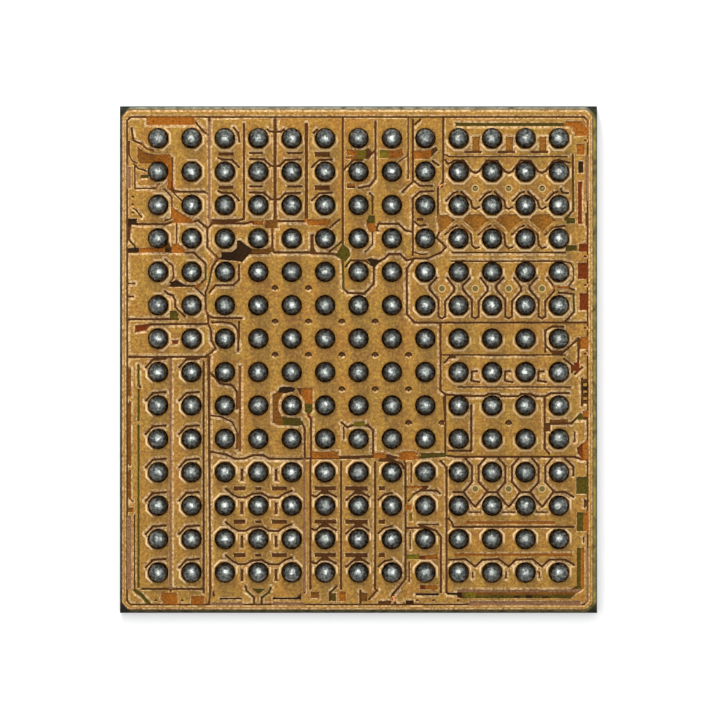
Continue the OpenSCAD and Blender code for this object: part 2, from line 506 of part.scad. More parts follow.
module south_east_gaps() {
    groove([[9.46, 10.66], [9.64, 10.86], [9.64, 14.6]]);
    fine([[8.58, 10.74], [8.58, 11.3]]);
    groove([[8.46, 11.44], [9.06, 11.44]]);
    groove([[8.5, 11.86], [8.66, 11.66], [8.86, 11.55], [9.33, 11.55], [9.44, 11.64]]);
    box(8.43, 11.98, 8.6, 12.15);
    box(8.52, 12.22, 8.62, 12.48);
    fine([[8.8, 12.57], [9.38, 12.57]]);
    groove([[8.46, 12.68], [9.06, 12.66], [9.33, 12.76], [9.47, 12.94], [9.47, 14.6]]);
    fine([[8.55, 12.8], [8.55, 13.3]]);
    window([[8.46, 13.46], [8.79, 13.46], [8.85, 13.5], [9.38, 13.44], [9.38, 13.62], [8.46, 13.62]]);
    fine([[8.52, 13.7], [8.52, 14.28]]);
    box(8.84, 14.38, 9.38, 14.52);
    groove([[8.74, 14.66], [9.38, 14.66]]);
    box(8.41, 14.84, 8.66, 14.93);
    groove([[9.68, 14.64], [10.05, 14.66]]);
    box(10.2, 14.62, 10.47, 14.74);
    // The necks under the eleventh row and the cups under the twelfth
    for (c = [10, 11, 12]) {
        groove([[c + 0.2, 10.59], [c + 0.4, 10.82], [c + 0.4, 11.3], [c + 0.17, 11.56]]);
        groove([[c + 0.8, 10.59], [c + 0.6, 10.82], [c + 0.6, 11.3], [c + 0.84, 11.56]]);
        groove([[c - 0.16, 11.6], [c + 0.15, 11.6], [c + 0.37, 11.9], [c + 0.5, 12.04], [c + 0.62, 11.9],
            [c + 0.84, 11.6]]);
        fine([[c + 0.33, 12.2], [c + 0.66, 12.2]]);
        groove([[c - 0.28, 13.63], [c + 0.2, 13.6], [c + 0.5, 13.83], [c + 0.72, 13.62]]);
        fine([[c + 0.42, 14.0], [c + 0.42, 14.16]]);
    }
    groove([[13.18, 10.59], [13.44, 10.84], [13.44, 11.1]]);
    groove([[12.84, 11.6], [13.2, 11.6], [13.44, 11.74]]);
    groove([[9.7, 12.4], [9.8, 12.5], [9.84, 12.64], [13.45, 12.64]]);
    box(10.2, 12.46, 12.9, 12.56);
    box(9.86, 13.43, 13.4, 13.52);
    groove([[12.72, 13.62], [13.2, 13.62], [13.46, 13.78]]);
    window([[9.95, 14.52], [13.3, 14.52], [13.54, 14.4], [13.54, 13.26], [13.77, 13.26], [13.77, 14.46],
        [13.68, 14.56], [13.5, 14.66], [13.38, 14.79], [9.95, 14.79]]);
    window([[10.24, 14.97], [10.34, 14.86], [13.66, 14.86], [13.66, 14.96]]);
    // The tabs and windows along the right edge
    box(13.52, 11.14, 13.84, 11.66);
    fine([[13.78, 11.83], [13.78, 12.05]]);
    box(13.54, 12.2, 13.85, 12.78);
    fine([[13.75, 12.96], [13.75, 13.1]]);
    box(13.83, 13.3, 13.88, 14.8);
}

module gaps() {
    streets();
    west_gaps();
    north_gaps();
    middle_gaps();
    north_east_gaps();
    core_gaps();
    east_gaps();
    south_west_gaps();
    south_gaps();
    south_east_gaps();
}

// Every pad keeps its round seat, whatever gap runs beside it
module seats(d) {
    for (c = [1 : columns], r = [1 : rows]) translate(at([c, r])) circle(d = d, $fn = seat_sides);
}

// The copper of one area, without slivers too thin to plate or gaps too narrow to etch
module copper_pattern(area) {
    offset(delta = least_copper / 2 - hair) offset(delta = -(least_copper + least_gap) / 2)
        offset(delta = least_gap / 2)
            difference() {
                intersection() {
                    inside_guard(guard_gap);
                    window(area);
                }
                difference() {
                    gaps();
                    seats(pad_flange_d);
                }
            }
}

// ---- The copper fields, each bounded by the streets round it ----

function turned(path) = [for (i = [len(path) - 1 : -1 : 0]) path[i]];
function part_of(path, first, last) = [for (i = [first : last]) path[i]];

// Places beyond the guard ring, on the four sides
far_up = 0;
far_left = -1;
far_right = columns + 2;
far_down = rows + 2;

west_area = concat([[far_left, far_up]], west_street, west_foot, [[far_left, 7.55]]);
north_area = concat(part_of(west_street, 0, 5), plane_top, [[6.53, 4.2], [6.53, far_up]]);
middle_area = concat([[6.53, far_up], [6.53, 4.2]], middle_foot, turned(part_of(east_street, 0, 8)));
north_east_area = concat(east_street, [[far_right, 6.52], [far_right, far_up]]);
east_area = concat(south_street, [[far_right, 10.62], [far_right, 6.52]]);
core_area = concat(
    part_of(west_street, 5, len(west_street) - 1), west_foot, [[2.53, 7.55]], part_of(core_foot, 1, 7),
    turned(part_of(south_street, 0, 3)), turned(part_of(east_street, 9, 12)), turned(middle_foot),
    turned(plane_top)
);
south_west_area = concat(
    [[far_left, 7.55], [2.42, 7.55]], south_west_street, [[2.5, far_down], [far_left, far_down]]
);
south_area = concat(
    part_of(south_west_street, 1, 3), [[2.5, far_down], [8.15, far_down]], turned(south_east_street),
    turned(part_of(core_foot, 1, 6))
);
south_east_area = concat(
    south_east_street, [[8.15, far_down], [far_right, far_down], [far_right, 10.62]],
    turned(part_of(south_street, 3, 6)), [[9.6, 10.5]]
);

// ---- Where the vias go down to the die ----

core_vias = concat(
    [for (c = [4.5, 5.5]) [c, 5.5]],
    [for (c = [4.5 : 1 : 7.5]) [c, 6.5]],
    [for (c = [4.5 : 1 : 8.5]) [c, 7.5]],
    [for (c = [6.5 : 1 : 8.5]) [c, 8.53]],
    [[8.5, 9.54], [9.5, 9.54], [11.5, 9.54]]
);
edge_vias = concat(
    [for (c = [9.5 : 1 : 12.5]) [c, 2.46]],
    [[0.24, 2.76], [0.24, 3.0], [0.24, 3.24], [13.79, 1.07], [13.79, 4.55], [13.79, 5.41], [13.79, 6.69],
        [13.79, 7.46], [0.93, 14.85], [1.72, 14.85], [8.04, 14.8], [8.77, 14.85], [9.25, 14.85],
        [9.99, 14.85]]
);

balls = [for (c = [1 : columns], r = [1 : rows]) [c, r]];

// How often a line to the right of a place crosses the border of an area
function crossings(p, area) = len([
    for (i = [0 : len(area) - 1])
        let (a = area[i], b = area[(i + 1) % len(area)])
        if ((a[1] > p[1]) != (b[1] > p[1]) && p[0] < a[0] + (b[0] - a[0]) * (p[1] - a[1]) / (b[1] - a[1])) i
]);

function those_in(area, places) = [for (p = places) if (crossings(p, area) % 2 == 1) p];

// ---- Solids ----

module slab(z, t) translate([0, 0, z]) linear_extrude(t) children();

module die_outline(inset) square([die_w - 2 * inset, die_h - 2 * inset], center = true);

module backside_coating() color("#202022") slab(0, coating_t) die_outline(0);

module silicon_die() color("#6e7064") {
    slab(z_silicon, silicon_t - ledge_t) die_outline(0);
    slab(z_wiring - ledge_t, ledge_t) die_outline(ledge_w);
}

module seal_band() {
    difference() {
        die_outline(ledge_w + seal_inset);
        die_outline(ledge_w + seal_inset + seal_w);
    }
}

module on_chip_wiring() color("#7c7d68") slab(z_wiring, wiring_t) difference() {
    die_outline(ledge_w);
    seal_band();
}

module seal_ring() color("#8f8f84") slab(z_wiring, wiring_t) seal_band();

module at_places(places) {
    for (p = places) translate(at(p)) children();
}

module via_discs(d) at_places(concat(core_vias, edge_vias)) circle(d = d);

module passivation() color("#6d7f6a") slab(z_passivation, passivation_t) difference() {
    die_outline(ledge_w);
    via_discs(contact_d);
}

module contact_pads() color("#c9c9c9") slab(z_passivation, passivation_t) via_discs(contact_d);

module lower_film() color("#5a4326") slab(z_lower_film, lower_film_t) difference() {
    film_outline(0);
    via_discs(via_d);
}

module via_plugs() color("#b06a3a") slab(z_lower_film, lower_film_t) via_discs(via_d);

module copper(area) color("#b8743c") slab(z_copper, copper_t) copper_pattern(area);

module guard_ring() color("#b8743c") slab(z_copper, copper_t) guard_band(0);

// The upper film wraps the copper of one area, and leaves the pads and the dimples open
module film(area) color("#b4822f") difference() {
    slab(z_copper, copper_t + cover_t)
        offset(delta = -hair) offset(delta = cover_side + hair) copper_pattern(area);
    slab(z_copper - copper_t, 2 * copper_t) copper_pattern(area);
    at_places(those_in(area, balls)) opening(pad_opening_d, cover_t + copper_t / 2);
    at_places(those_in(area, core_vias)) opening(dimple_d, dimple_t);
    at_places(those_in(area, edge_vias)) opening(small_dimple_d, dimple_t);
}

module film_over_guard() color("#b4822f") difference() {
    slab(z_copper, copper_t + cover_t) guard_band(cover_side);
    slab(z_copper - copper_t, 2 * copper_t) guard_band(0);
}

// A round hole sunk into the top of the film
module opening(d, depth) translate([0, 0, z_flange - depth]) cylinder(d = d, h = 2 * depth);

module under_bump_pads() color("#a9a08a") at_places(balls) {
    slab(z_cover, cover_t) circle(d = pad_opening_d);
    slab(z_flange, pad_flange_t) circle(d = pad_flange_d);
}

module solder_ball() {
    sink = sqrt(pow(ball_d, 2) - pow(ball_seat_d, 2)) / 2;
    intersection() {
        translate([0, 0, sink]) sphere(d = ball_d);
        cylinder(d = ball_d * 2, h = ball_d * 2);
    }
}

module solder_row(r) color("#8d9196") for (c = [1 : columns]) {
    translate(concat(at([c, r]), z_ball)) solder_ball();
}

backside_coating();
silicon_die();
on_chip_wiring();
seal_ring();
passivation();
contact_pads();
lower_film();
via_plugs();
guard_ring();
copper(west_area);  // copper_west
copper(north_area);  // copper_north
copper(middle_area);  // copper_middle
copper(north_east_area);  // copper_north_east
copper(core_area);  // copper_core
copper(east_area);  // copper_east
copper(south_west_area);  // copper_south_west
copper(south_area);  // copper_south
copper(south_east_area);  // copper_south_east
film_over_guard();
film(west_area);  // film_west
film(north_area);  // film_north
film(middle_area);  // film_middle
film(north_east_area);  // film_north_east
film(core_area);  // film_core
film(east_area);  // film_east
film(south_west_area);  // film_south_west
film(south_area);  // film_south
film(south_east_area);  // film_south_east
under_bump_pads();
solder_row(1);  // solder_row_a
solder_row(2);  // solder_row_b
solder_row(3);  // solder_row_c
solder_row(4);  // solder_row_d
solder_row(5);  // solder_row_e
solder_row(6);  // solder_row_f
solder_row(7);  // solder_row_g
solder_row(8);  // solder_row_h
solder_row(9);  // solder_row_j
solder_row(10);  // solder_row_k
solder_row(11);  // solder_row_l
solder_row(12);  // solder_row_m
solder_row(13);  // solder_row_n
solder_row(14);  // solder_row_p
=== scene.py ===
"""Dresses the ball grid array chip: sloped film relief, smooth solder balls, colours and light."""

import math

import bmesh
import bpy
from bpy.props import FloatProperty, FloatVectorProperty, PointerProperty
from mathutils import Matrix, Vector, geometry


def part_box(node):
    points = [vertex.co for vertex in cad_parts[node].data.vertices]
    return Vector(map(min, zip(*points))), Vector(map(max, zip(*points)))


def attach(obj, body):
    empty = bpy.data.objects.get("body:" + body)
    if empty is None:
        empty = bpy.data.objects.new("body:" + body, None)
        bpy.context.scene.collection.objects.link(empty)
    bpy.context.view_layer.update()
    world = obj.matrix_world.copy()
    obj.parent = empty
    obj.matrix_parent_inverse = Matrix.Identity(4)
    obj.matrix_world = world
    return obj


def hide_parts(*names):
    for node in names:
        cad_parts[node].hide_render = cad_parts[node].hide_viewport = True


bl_info = {
    "name": "Ball grid array chip",
    "version": (1, 0, 0),
    "blender": (4, 5, 0),
    "location": "3D View > Sidebar > Chip",
    "description": "Builds the visible film, solder balls and stage round the packed chip",
    "category": "Object",
}

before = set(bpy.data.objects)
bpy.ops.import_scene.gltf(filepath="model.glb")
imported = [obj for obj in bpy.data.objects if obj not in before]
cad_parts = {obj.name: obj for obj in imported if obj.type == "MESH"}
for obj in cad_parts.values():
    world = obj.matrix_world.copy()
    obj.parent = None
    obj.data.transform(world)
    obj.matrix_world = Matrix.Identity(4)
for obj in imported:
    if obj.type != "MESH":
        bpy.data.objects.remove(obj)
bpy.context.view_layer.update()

MM = 0.001
UM = 0.000001
FIELDS = ("west", "north", "middle", "north_east", "core", "east", "south_west", "south", "south_east")
BALL_ROWS = "abcdefghjklmnp"
BALL_COLUMNS = 13
ROOT = "root"
# Painted highlights: pale rims round the balls of a field, standing in for light glinting off the copper's
# edges there; which way they open from the ball, and how strongly
RIM_HIGHLIGHTS = {
    "west": ((1, 0.3), 0.7), "north": ((0, -0.6), 0.5), "north_east": ((0.2, -1), 0.8),
    "east": ((0, -0.8), 0.5), "south_west": ((-0.7, 0.5), 1), "south": ((0, 1), 0.9),
    "south_east": ((0.1, 0.6), 0.9),
}
# Where a field shows rows of small green marks, as boxes in ball columns and rows; each mark has a painted
# shade ring and a painted highlight ring
MARKS = {
    "north_east": [(10.3, 2.3, 12.7, 2.7), (9.3, 5.3, 12.7, 5.7)],
    "east": [(9.3, 5.3, 12.7, 5.7)], "south_east": [(10.3, 11.3, 12.7, 11.7)],
}
# Depth of a dimple in the upper film, and of the bowl that the scene makes of it
DIMPLE, BOWL = 5 * UM, 9 * UM
# Steps of the ball grid from the outer balls to the die's edges
SIDE_STEPS, TOP_STEPS, BOTTOM_STEPS = 1.15, 0.965, 1.22
# How the film's walls lean: share of their height, and share of the slope's run
LEAN = ((0.7, 0.2), (1.0, 1.0))
# Least depth of a film's outer walls; the walls that are lower belong to dimples
OUTER_WALL = 15 * UM
# Width of a bowl's floor as a share of the dimple's
BOWL_SHARE = 0.5
# Corners of a mesh that lie closer together than this are one
JOIN = 0.01 * UM
# A slope's corner moves by this many runs at most, and by this share of a move that would cross
LONGEST_MOVE, SHORTENED = 1.8, 0.7
# Materials of a film coat, by number: the flat top, the slopes with their pale painted highlight, the bowls'
# floors with painted shade, and the bowls' walls with painted shade
FLAT, SLOPE_HIGHLIGHT, SHADED_BOWL_FLOOR, BOWL_SHADE = range(4)
# Where the colours of the bare lane end, in millimetres from the middle of the die
LANE_X, LANE_Y = 2.9, 3.04
# Sockets of a Mix node that mixes colours: its factor, its two colours and its result
MIX_FACTOR, MIX_LOW, MIX_HIGH, MIX_RESULT = 0, 6, 7, 2
# Share of the view's width by which the chip lies off its middle
CAMERA_SHIFT = (0.0021, -0.0006)
# Blocks of the die seen through the lower film: left, top, right, bottom in ball columns and rows
BLOCKS = {
    "orange": [
        (0.64, 0.34, 2.12, 0.62), (0.9, 1.4, 1.4, 2.5), (1.4, 3.05, 2.06, 3.56), (3.87, 3.4, 4.16, 3.62),
        (5.38, 3.4, 6.2, 3.66), (6.6, 1.28, 6.94, 1.52), (6.6, 2.28, 6.9, 2.42), (7.2, 3.54, 7.52, 3.8),
        (8.66, 1.3, 9.18, 1.66), (13.14, 0.44, 13.92, 0.96), (13.5, 1.18, 13.8, 1.52),
        (0.42, 4.24, 1.2, 4.46), (1.4, 4.13, 1.82, 4.45), (2.1, 5.34, 2.42, 5.48), (2.28, 6.12, 2.44, 6.28),
        (12.66, 5.4, 13.3, 5.54), (13.65, 6.92, 13.92, 7.34), (13.7, 9.14, 13.92, 9.34),
        (13.72, 10.05, 13.9, 10.62), (5.28, 8.43, 5.66, 8.95), (5.6, 10.34, 6.42, 10.58),
        (7.46, 10.4, 7.82, 10.58), (8.15, 10.34, 8.82, 10.68), (0.1, 12.04, 0.29, 12.22),
        (1.07, 14.57, 1.6, 14.96), (1.95, 14.67, 2.4, 14.96), (6.35, 14.54, 6.65, 14.92),
        (8.46, 11.4, 8.9, 11.52), (8.4, 11.96, 8.63, 12.17), (9.0, 13.4, 9.4, 13.66),
        (9.0, 14.34, 9.4, 14.56), (9.86, 12.43, 13.45, 12.6), (9.86, 13.4, 13.45, 13.56),
        (13.73, 12.16, 13.92, 12.86), (13.66, 13.24, 13.8, 14.52), (6.62, 1.3, 6.95, 1.62),
        (7.9, 1.3, 8.36, 1.62),
    ],
    "amber": [
        (9.3, 3.27, 9.8, 3.8), (10.06, 3.27, 10.87, 3.84), (11.06, 3.27, 11.87, 3.84),
        (12.06, 3.27, 12.87, 3.84), (10.3, 0.92, 10.6, 1.36), (11.3, 0.92, 11.6, 1.36),
        (12.3, 0.92, 12.6, 1.36),
    ],
    "brown": [
        (0.3, 1.15, 0.9, 1.8), (2.5, 4.05, 2.84, 4.6), (3.7, 4.26, 4.42, 4.44), (4.15, 3.4, 4.62, 3.84),
        (12.74, 9.4, 13.3, 9.5), (4.4, 8.6, 4.72, 9.62), (3.36, 7.8, 3.52, 10.4), (5.5, 14.54, 5.85, 14.82),
        (7.08, 14.54, 7.3, 14.92), (9.9, 14.6, 13.66, 14.68), (0.1, 7.88, 0.22, 12.2),
    ],
    "dark red": [
        (1.38, 2.28, 1.6, 2.52), (3.72, 3.42, 3.87, 3.6), (0.3, 6.56, 0.7, 6.84), (1.4, 7.02, 1.62, 7.2),
        (13.57, 4.66, 13.9, 5.26), (13.58, 5.6, 13.92, 6.2), (13.42, 7.68, 13.66, 8.0),
        (13.62, 10.1, 13.72, 10.66), (13.56, 2.27, 13.75, 3.6), (13.56, 4.13, 13.9, 4.42),
        (5.5, 9.24, 5.7, 9.44), (8.82, 13.4, 9.0, 13.62), (8.82, 14.36, 9.0, 14.52),
    ],
    "olive": [
        (0.45, 2.07, 0.74, 2.23), (7.28, 3.28, 7.52, 3.54), (9.76, 0.5, 13.14, 0.68),
        (13.36, 2.08, 13.56, 3.2), (13.2, 3.28, 13.56, 3.62), (6.28, 4.13, 6.8, 4.76),
        (6.46, 4.76, 6.65, 5.56), (2.36, 4.88, 2.6, 5.34), (1.3, 6.12, 1.6, 6.42),
        (13.2, 4.12, 13.56, 4.42), (13.38, 4.7, 13.57, 5.26), (13.4, 5.6, 13.58, 6.2),
        (13.54, 9.28, 13.72, 9.48), (4.72, 9.33, 5.32, 9.62), (5.32, 8.95, 5.66, 9.24),
        (8.82, 10.38, 9.7, 10.6), (0.36, 7.78, 0.46, 14.5), (0.28, 14.5, 0.74, 14.96),
        (3.65, 14.44, 4.36, 14.72), (6.18, 14.52, 6.35, 14.9), (13.52, 12.16, 13.73, 12.86),
        (13.52, 13.24, 13.66, 14.52), (10.12, 14.68, 13.66, 14.82), (13.5, 11.1, 13.92, 11.7),
    ],
    "green": [
        (7.6, 1.3, 7.9, 1.62), (6.95, 1.3, 7.22, 1.62), (6.85, 9.46, 7.22, 9.65), (8.48, 11.55, 8.63, 11.82),
        (8.48, 12.18, 8.66, 12.5), (8.44, 13.44, 8.82, 13.65), (10.18, 14.6, 10.5, 14.76),
    ],
    "black": [
        (0.4, 1.92, 0.66, 2.04), (0.1, 3.38, 0.4, 3.64), (0.1, 4.24, 0.42, 4.45), (1.2, 4.3, 1.36, 4.42),
        (2.84, 4.32, 3.62, 4.66), (3.32, 4.02, 3.8, 4.8), (7.28, 4.62, 7.68, 4.88), (1.37, 5.28, 1.82, 5.45),
        (2.22, 5.54, 2.45, 5.68), (4.6, 8.42, 5.14, 8.62), (2.8, 14.74, 3.54, 14.84),
        (4.4, 14.72, 5.34, 14.84), (13.56, 1.66, 13.82, 2.06), (13.7, 8.3, 13.88, 8.66),
        (11.66, 14.7, 11.82, 14.8), (12.02, 14.68, 12.2, 14.8), (12.5, 14.72, 12.7, 14.82),
        (8.4, 14.82, 8.66, 14.96), (8.7, 14.6, 9.4, 14.72), (9.62, 14.56, 10.1, 14.74),
    ],
    "mauve": [
        (0.05, 1.79, 0.22, 2.52), (2.44, 0.5, 2.62, 3.5), (13.78, 1.5, 13.94, 2.87),
        (1.3, 7.6, 1.44, 14.5), (2.56, 14.86, 3.54, 15.0), (4.4, 14.86, 5.4, 15.0),
        (10.3, 14.83, 13.7, 15.0), (13.8, 13.26, 13.97, 14.96), (0.06, 12.28, 0.24, 14.52),
        (5.3, 10.6, 5.46, 14.6), (9.9, 14.5, 13.66, 14.6),
    ],
}
# The floor colour is the lower film's own brown, darkened with painted shade so that the narrow gaps between
# the copper look shaded; the other colours are blocks of the die
BLOCK_COLOURS = {
    "floor": (84, 48, 14), "orange": (147, 85, 20), "brown": (111, 67, 17), "dark red": (105, 43, 5),
    "olive": (76, 64, 8), "green": (108, 92, 16), "black": (44, 24, 3), "mauve": (133, 96, 66),
    "amber": (134, 86, 26),
}


def srgb(red, green, blue):
    """A colour given in 0 to 255 display values, as linear RGBA."""
    def linear(value):
        share = value / 255
        return share / 12.92 if share <= 0.04045 else ((share + 0.055) / 1.055) ** 2.4

    return (linear(red), linear(green), linear(blue), 1.0)


def grey(share):
    """A linear grey between black at nought and white at one."""
    return (share, share, share, 1.0)


# ---- Settings ----


class ChipFilmSettings(bpy.types.PropertyGroup):
    """Sizes and colours of the upper film."""

    slope_run: FloatProperty(
        name="Slope run", description="Width of the slope along every edge of the film",
        default=30 * UM, min=1 * UM, max=50 * UM, unit="LENGTH",
    )
    gold: FloatVectorProperty(
        name="Gold", description="Usual colour of the film over copper", subtype="COLOR", size=4,
        default=srgb(152, 106, 20), min=0, max=1,
    )
    # The edge colour is a painted highlight: the slopes are pale to stand in for light glinting off them
    edge: FloatVectorProperty(
        name="Edge", description="Colour of the slopes", subtype="COLOR", size=4,
        default=srgb(186, 148, 92), min=0, max=1,
    )
    # The rim colour is a painted highlight round the balls
    rim: FloatVectorProperty(
        name="Rim", description="Pale rims that the film shows round the balls", subtype="COLOR", size=4,
        default=srgb(244, 208, 156), min=0, max=1,
    )


class ChipBallSettings(bpy.types.PropertyGroup):
    """Sizes and colours of the solder balls."""

    diameter: FloatProperty(
        name="Diameter", description="Diameter of a ball", default=0.25 * MM, min=0.2 * MM,
        max=0.3 * MM, unit="LENGTH",
    )
    metal: FloatVectorProperty(
        name="Metal", description="Colour of the solder", subtype="COLOR", size=4,
        default=srgb(200, 204, 198), min=0, max=1,
    )


class ChipStageSettings(bpy.types.PropertyGroup):
    """The camera's view."""

    frame_width: FloatProperty(
        name="Frame width", description="Width of the view at the chip", default=8.628 * MM,
        min=5 * MM, max=20 * MM, unit="LENGTH",
    )
    lens: FloatProperty(
        name="Lens", description="Focal length of the camera, in millimetres", default=400,
        min=50, max=800,
    )


class ChipSettings(bpy.types.PropertyGroup):
    """All the settings of the chip."""

    film: PointerProperty(type=ChipFilmSettings)
    balls: PointerProperty(type=ChipBallSettings)
    stage: PointerProperty(type=ChipStageSettings)


# ---- Material helpers ----


def new_material(name, roughness, specular=0.5, metallic=0.0):
    """A node material and its Principled shader."""
    material = bpy.data.materials.new(name)
    material.use_nodes = True
    shader = material.node_tree.nodes["Principled BSDF"]
    shader.inputs["Roughness"].default_value = roughness
    shader.inputs["Specular IOR Level"].default_value = specular
    shader.inputs["Metallic"].default_value = metallic
    return material, shader


def add(material, kind, **inputs):
    """A node of that kind, with some of its sockets set."""
    node = material.node_tree.nodes.new(kind)
    for key, value in inputs.items():
        node.inputs[key.replace("_", " ")].default_value = value
    return node


def link(material, start, end):
    """Joins an output to an input."""
    material.node_tree.links.new(start, end)


def object_place(material):
    """Object coordinates in millimetres."""
    coordinates = add(material, "ShaderNodeTexCoord")
    mapping = add(material, "ShaderNodeMapping", Scale=(1 / MM, 1 / MM, 1 / MM))
    link(material, coordinates.outputs["Object"], mapping.inputs["Vector"])
    return mapping.outputs["Vector"]


def separate(material, place):
    """The X, Y and Z of a place, by name."""
    node = add(material, "ShaderNodeSeparateXYZ")
    link(material, place, node.inputs["Vector"])
    return node.outputs


def noise(material, place, scale, detail, rough):
    """Noise of a grain, where a higher scale is finer."""
    node = add(material, "ShaderNodeTexNoise", Scale=scale, Detail=detail, Roughness=rough)
    link(material, place, node.inputs["Vector"])
    return node.outputs["Fac"]


def ramp(material, factor, stops):
    """A colour ramp over a factor, with (position, colour) stops."""
    node = add(material, "ShaderNodeValToRGB")
    elements = node.color_ramp.elements
    for _ in range(len(stops) - len(elements)):
        elements.new(0.5)
    for element, (position, colour) in zip(elements, stops, strict=True):
        element.position, element.color = position, colour
    link(material, factor, node.inputs["Fac"])
    return node.outputs["Color"]


def supply(material, value, socket):
    """Feeds a socket with an output, or sets it to a value."""
    if isinstance(value, bpy.types.NodeSocket):
        link(material, value, socket)
    else:
        socket.default_value = value


def blend(material, factor, low, high, mode="MIX"):
    """Two colours mixed by a factor; each may be a socket or a value."""
    node = material.node_tree.nodes.new("ShaderNodeMix")
    node.data_type, node.blend_type = "RGBA", mode
    for number, value in ((MIX_FACTOR, factor), (MIX_LOW, low), (MIX_HIGH, high)):
        supply(material, value, node.inputs[number])
    return node.outputs[MIX_RESULT]


def bumped(material, shader, height, strength, distance):
    """Gives a shader a fine relief."""
    node = add(material, "ShaderNodeBump", Strength=strength, Distance=distance)
    link(material, height, node.inputs["Height"])
    link(material, node.outputs["Normal"], shader.inputs["Normal"])


def maths(material, operation, *values):
    """A sum, product or the like of sockets and numbers."""
    node = add(material, "ShaderNodeMath")
    node.operation = operation
    for value, socket in zip(values, node.inputs):
        supply(material, value, socket)
    return node.outputs[0]


def shifted(material, value, low, high):
    """A value as a share of the way from low to high."""
    node = add(material, "ShaderNodeMapRange", From_Min=low, From_Max=high)
    link(material, value, node.inputs["Value"])
    return node.outputs["Result"]


def ball_offsets(material, parts):
    """How far a point lies from the nearest ball's centre along X and Y, in pitches."""
    centre_x, first_y = grid_place((BALL_COLUMNS + 1) / 2, 1)
    pitch = grid_place(2, 1)[0] - grid_place(1, 1)[0]
    return [
        maths(material, "SUBTRACT", maths(material, "FRACT", maths(
            material, "MULTIPLY_ADD", parts[axis], MM / pitch, 0.5 - centre / pitch
        )), 0.5)
        for axis, centre in (("X", centre_x), ("Y", first_y))
    ]


def ball_rim_highlights(material, parts, offsets, way, strength):
    """Painted highlights: pale eight-sided rims round the balls, standing in for light glinting off the
    copper's edges, on the side that the way points to, in pitches.
    """
    sizes = [maths(material, "ABSOLUTE", offset) for offset in offsets]
    corner = maths(material, "MULTIPLY", maths(material, "ADD", *sizes), math.sqrt(0.5))
    reach = maths(material, "MAXIMUM", maths(material, "MAXIMUM", *sizes), corner)
    rim = ramp(material, shifted(material, reach, 0.3, 0.4), [
        (0.2, grey(0)), (0.4, grey(1)), (0.7, grey(1)), (0.9, grey(0)),
    ])
    along = maths(
        material, "ADD", maths(material, "MULTIPLY", offsets[0], way[0]),
        maths(material, "MULTIPLY", offsets[1], way[1]),
    )
    side = ramp(material, shifted(material, along, -0.4, 0.4), [
        (0.4, grey(0)), (0.5, grey(strength)),
    ])
    grid = within(material, parts, (0.5, 0.5, BALL_COLUMNS + 0.5, len(BALL_ROWS) + 0.5))
    return maths(material, "MULTIPLY", grid, maths(material, "MULTIPLY", rim, side))


def within(material, parts, box):
    """One inside a box of ball columns and rows, and nought outside."""
    share = 1.0
    (left, upper), (right, lower) = grid_place(*box[:2]), grid_place(*box[2:])
    for axis, low, high in (("X", left, right), ("Y", lower, upper)):
        above = maths(material, "GREATER_THAN", parts[axis], low / MM)
        below = maths(material, "LESS_THAN", parts[axis], high / MM)
        share = maths(material, "MULTIPLY", share, maths(material, "MULTIPLY", above, below))
    return share


def marked(material, parts, offsets, colour, box):
    """Green marks midway between the balls inside the box, each with a painted dark shade ring and a painted
    pale highlight ring round it.
    """
    squares = []
    for offset in offsets:
        away = maths(material, "SUBTRACT", 0.5, maths(material, "ABSOLUTE", offset))
        squares.append(maths(material, "MULTIPLY", away, away))
    reach = maths(material, "SQRT", maths(material, "ADD", *squares))
    # Painted shade in the dark ring and painted highlight in the pale ring round each mark
    ring = ramp(material, shifted(material, reach, 0.0, 0.2), [
        (0.3, srgb(104, 92, 20)), (0.36, srgb(70, 50, 10)), (0.5, srgb(214, 180, 120)),
        (0.62, srgb(150, 106, 40)),
    ])
    close = maths(material, "LESS_THAN", reach, 0.13)  # In pitches, round each mark
    near = maths(material, "MULTIPLY", within(material, parts, box), close)
    return blend(material, near, colour, ring)


def film_material(settings, field):
    """Amber film: fine yellow and brown grain on slow changes of tone, and pale rims of painted highlight.
    """
    material, shader = new_material(f"film_{field}", 0.5, 0.2)
    place = object_place(material)
    grain = noise(material, place, 34, 4, 0.75)
    patches = noise(material, place, 2.6, 2, 0.5)
    fine = ramp(material, grain, [
        (0.28, srgb(66, 36, 2)), (0.42, srgb(114, 72, 8)), (0.52, settings.gold),
        (0.62, srgb(174, 134, 42)), (0.74, srgb(212, 176, 88)),
    ])
    slow = ramp(material, patches, [
        (0.3, srgb(188, 122, 50)), (0.5, srgb(180, 134, 56)), (0.7, srgb(172, 142, 62)),
    ])
    colour = blend(material, 0.25, fine, slow)
    if field in RIM_HIGHLIGHTS:
        parts = separate(material, place)
        offsets = ball_offsets(material, parts)
        # Pale rims of painted highlight round the balls
        rims = ball_rim_highlights(material, parts, offsets, *RIM_HIGHLIGHTS[field])
        colour = blend(material, rims, colour, settings.rim)
        for box in MARKS.get(field, []):
            colour = marked(material, parts, offsets, colour, box)
    link(material, colour, shader.inputs["Base Color"])
    bumped(material, shader, grain, 0.5, 2.5 * UM)
    return material


def slope_highlight_material(settings):
    """The slopes of the film, pale as a painted highlight of light glinting off them."""
    material, shader = new_material("film_slope_highlight", 0.35, 0.3)
    place = object_place(material)
    grain = noise(material, place, 30, 2, 0.6)
    colour = ramp(material, grain, [
        (0.35, srgb(140, 96, 42)), (0.5, settings.edge), (0.66, srgb(222, 188, 138)),
    ])
    link(material, colour, shader.inputs["Base Color"])
    return material


def block_material(name, colour):
    """A block of the die below, seen through the clear lower film."""
    material, shader = new_material(name, 0.5, 0.05)
    place = object_place(material)
    grain = noise(material, place, 38, 3, 0.7)
    dark = [0.4 * value for value in colour[:3]] + [1]
    light = [min(1, 1.7 * value) for value in colour[:3]] + [1]
    tone = ramp(material, grain, [(0.3, dark), (0.5, colour), (0.7, light)])
    link(material, tone, shader.inputs["Base Color"])
    return material


